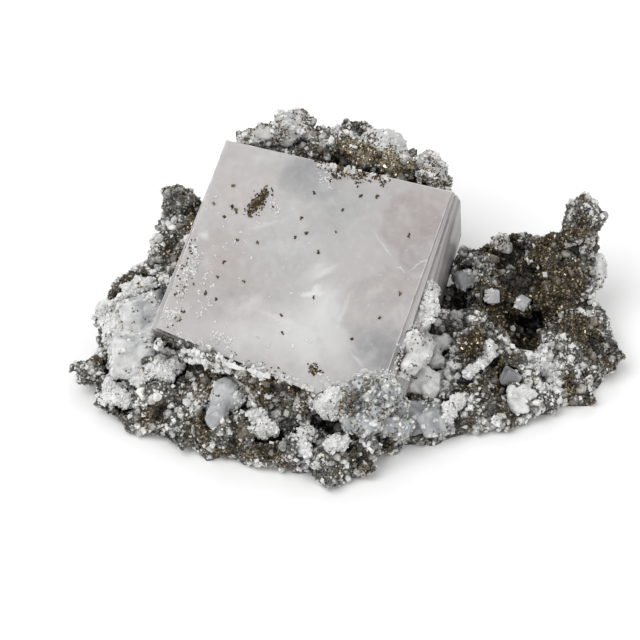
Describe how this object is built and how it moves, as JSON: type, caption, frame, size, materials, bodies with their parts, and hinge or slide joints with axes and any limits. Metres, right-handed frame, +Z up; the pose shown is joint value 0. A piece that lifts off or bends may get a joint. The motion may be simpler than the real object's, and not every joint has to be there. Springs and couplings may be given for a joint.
{
  "type": "fluorite cube specimen",
  "caption": "Large milky lilac fluorite cube on a rugged pyrite-and-druse matrix with small fluorite cubes and white calcite growths, resting on a flat underside.",
  "frame": {"origin": "middle of the flat underside's bounding box, on the surface that the specimen rests on", "axes": "+X along the specimen's length, to the right from the display side; +Y away from the display side; +Z up"},
  "size_m": [0.11, 0.0786, 0.0391],
  "materials": {
    "matrix": "grey-brown druse with golden pyrite grains, rough",
    "fluorite_lilac": "milky translucent lilac, satin crystal faces",
    "fluorite_grey": "translucent blue-grey, satin crystal faces",
    "calcite": "white, sugary and translucent"
  },
  "bodies": {
    "root": {"matrix": "matrix", "fluorite_cube": "fluorite_lilac", "fluorite_left": "fluorite_grey", "fluorite_grey": "fluorite_grey", "fluorite_hollow_left": "fluorite_grey", "fluorite_hollow_right": "fluorite_grey", "fluorite_by_cube": "fluorite_grey", "fluorite_right": "fluorite_grey", "fluorite_front": "fluorite_grey", "fluorite_back": "fluorite_grey", "calcite_back_left": "calcite", "calcite_back_right": "calcite", "calcite_left_arc": "calcite", "calcite_left_edge": "calcite", "calcite_left_patch": "calcite", "calcite_left_band": "calcite", "calcite_corner": "calcite", "calcite_beside_cube": "calcite", "calcite_low_beside": "calcite", "calcite_cube_side": "calcite", "druse_corner": "calcite", "calcite_right_of_cube": "calcite", "calcite_heart": "calcite", "calcite_right_end": "calcite", "calcite_disc": "calcite", "calcite_ledge_left": "calcite", "calcite_ledge_middle": "calcite", "calcite_ledge_right": "calcite", "calcite_ribbon": "calcite", "calcite_low_right": "calcite"}
  },
  "joints": []
}
